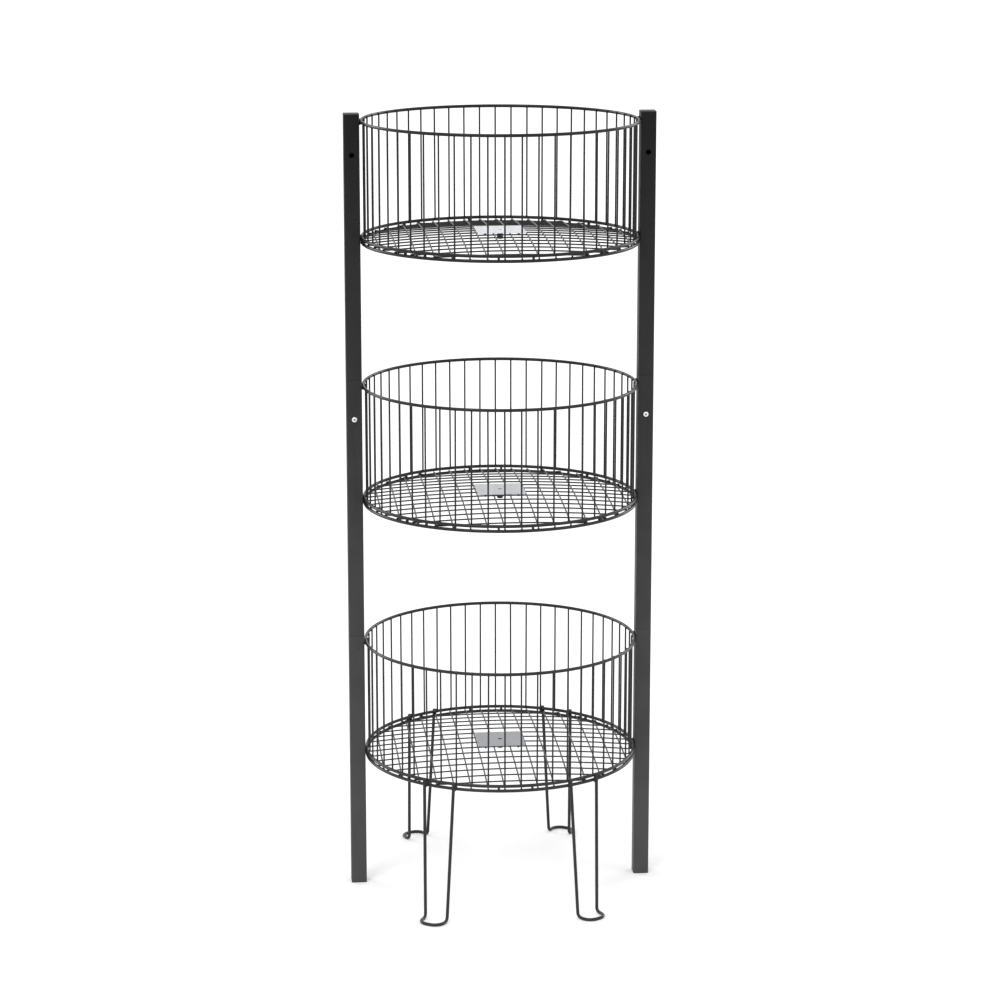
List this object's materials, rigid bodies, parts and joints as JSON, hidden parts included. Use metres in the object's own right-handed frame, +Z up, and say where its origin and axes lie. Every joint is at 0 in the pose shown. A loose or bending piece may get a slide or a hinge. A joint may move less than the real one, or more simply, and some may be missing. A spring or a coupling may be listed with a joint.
{
  "type": "three-tier dump bin",
  "caption": "Free-standing dump bin for loose retail goods: round wire baskets between square tube posts, stacked in tiers that lift apart, on hairpin wire legs.",
  "frame": {"origin": "on the floor, under the middle of the bin", "axes": "+Z up along the posts, +X to the right post, and the front, with the screws and the sign holes, faces -Y"},
  "size_m": [0.6096, 0.5686, 1.5629],
  "materials": {
    "post_coat": "satin dark grey powder coat",
    "wire_coat": "satin dark grey powder coat on wire",
    "zinc_plate": "bright zinc, faint rolling streaks",
    "dark_steel": "dark threaded socket",
    "sleeve_steel": "plain drawn steel tube",
    "bright_screw": "bright plated",
    "black_plastic": "fine moulded grain"
  },
  "bodies": {
    "bottom_tier": {"bottom_post_left": "post_coat", "bottom_post_right": "post_coat", "bottom_rim": "wire_coat", "bottom_basket_wall": "wire_coat", "bottom_basket_floor": "wire_coat", "bottom_centre_plate": "zinc_plate", "bottom_plate_socket": "dark_steel", "leg_front_left": "wire_coat", "leg_front_right": "wire_coat", "leg_back_left": "wire_coat", "leg_back_right": "wire_coat", "foot_plug_left": "black_plastic", "foot_plug_right": "black_plastic"},
    "middle_tier": {"middle_post_left": "post_coat", "middle_post_right": "post_coat", "middle_rim": "wire_coat", "middle_basket_wall": "wire_coat", "middle_basket_floor": "wire_coat", "middle_centre_plate": "zinc_plate", "middle_plate_socket": "dark_steel", "clamp_screw_left": "bright_screw", "clamp_screw_right": "bright_screw"},
    "top_tier": {"top_post_left": "post_coat", "top_post_right": "post_coat", "top_rim": "wire_coat", "top_basket_wall": "wire_coat", "top_basket_floor": "wire_coat", "top_centre_plate": "zinc_plate", "top_plate_socket": "dark_steel", "top_cap_left": "black_plastic", "top_cap_right": "black_plastic"},
    "lower_sleeve_left": {"lower_sleeve_left": "sleeve_steel"},
    "lower_sleeve_right": {"lower_sleeve_right": "sleeve_steel"},
    "upper_sleeve_left": {"upper_sleeve_left": "sleeve_steel"},
    "upper_sleeve_right": {"upper_sleeve_right": "sleeve_steel"}
  },
  "joints": [
    {"name": "middle_tier_lift", "type": "slide", "parent": "bottom_tier", "child": "middle_tier", "axis": [0, 0, 1], "range_m": [0, 0.11]},
    {"name": "top_tier_lift", "type": "slide", "parent": "middle_tier", "child": "top_tier", "axis": [0, 0, 1], "range_m": [0, 0.11]},
    {"name": "lower_sleeve_left_slide", "type": "slide", "parent": "bottom_tier", "child": "lower_sleeve_left", "axis": [0, 0, -1], "range_m": [0, 0.09]},
    {"name": "lower_sleeve_right_slide", "type": "slide", "parent": "bottom_tier", "child": "lower_sleeve_right", "axis": [0, 0, -1], "range_m": [0, 0.09]},
    {"name": "upper_sleeve_left_slide", "type": "slide", "parent": "middle_tier", "child": "upper_sleeve_left", "axis": [0, 0, -1], "range_m": [0, 0.09]},
    {"name": "upper_sleeve_right_slide", "type": "slide", "parent": "middle_tier", "child": "upper_sleeve_right", "axis": [0, 0, -1], "range_m": [0, 0.09]}
  ]
}
